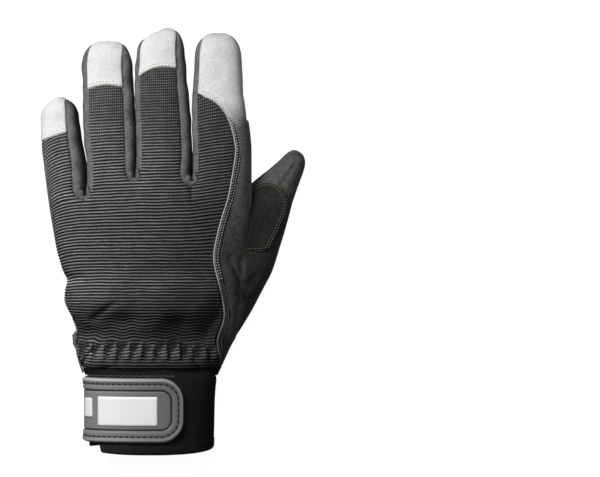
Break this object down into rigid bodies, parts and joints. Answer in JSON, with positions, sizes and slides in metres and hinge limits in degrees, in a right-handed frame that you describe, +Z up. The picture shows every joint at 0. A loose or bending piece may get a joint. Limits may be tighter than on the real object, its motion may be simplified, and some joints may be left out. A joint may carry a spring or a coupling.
{
  "type": "work glove",
  "caption": "Rigger work glove for the left hand: ribbed knit back, grey synthetic suede palm, fingertip caps and patches, elastic cuff with a rounded wrist strap and a bare label.",
  "frame": {"origin": "middle of the palm, on the flat underside of the palm patch that the glove lies on", "axes": "+Y from the wrist to the fingertips, +X towards the thumb side, +Z up out of the back of the hand"},
  "size_m": [0.1558, 0.2508, 0.0423],
  "materials": {
    "knit": "fine ribbed knit, dark charcoal with grey ridges",
    "suede": "matt synthetic suede, warm grey",
    "gusset_cloth": "plain grey cloth",
    "dark_suede": "matt synthetic suede, charcoal",
    "elastic": "black elastic webbing",
    "moulded": "soft moulded rubber, satin grey",
    "label": "bare white label"
  },
  "bodies": {
    "root": {"back_panel": "knit", "palm_panel": "suede", "tip_cap_little": "suede", "tip_cap_ring": "suede", "tip_cap_middle": "suede", "gusset_little_ring": "gusset_cloth", "gusset_ring_middle": "gusset_cloth", "gusset_middle_index": "gusset_cloth", "thumb_front": "suede", "thumb_back": "dark_suede", "thumb_patch": "dark_suede", "palm_patch": "suede", "index_patch": "suede", "cuff": "elastic", "strap": "moulded", "strap_label": "label", "strap_tag": "label"}
  },
  "joints": []
}
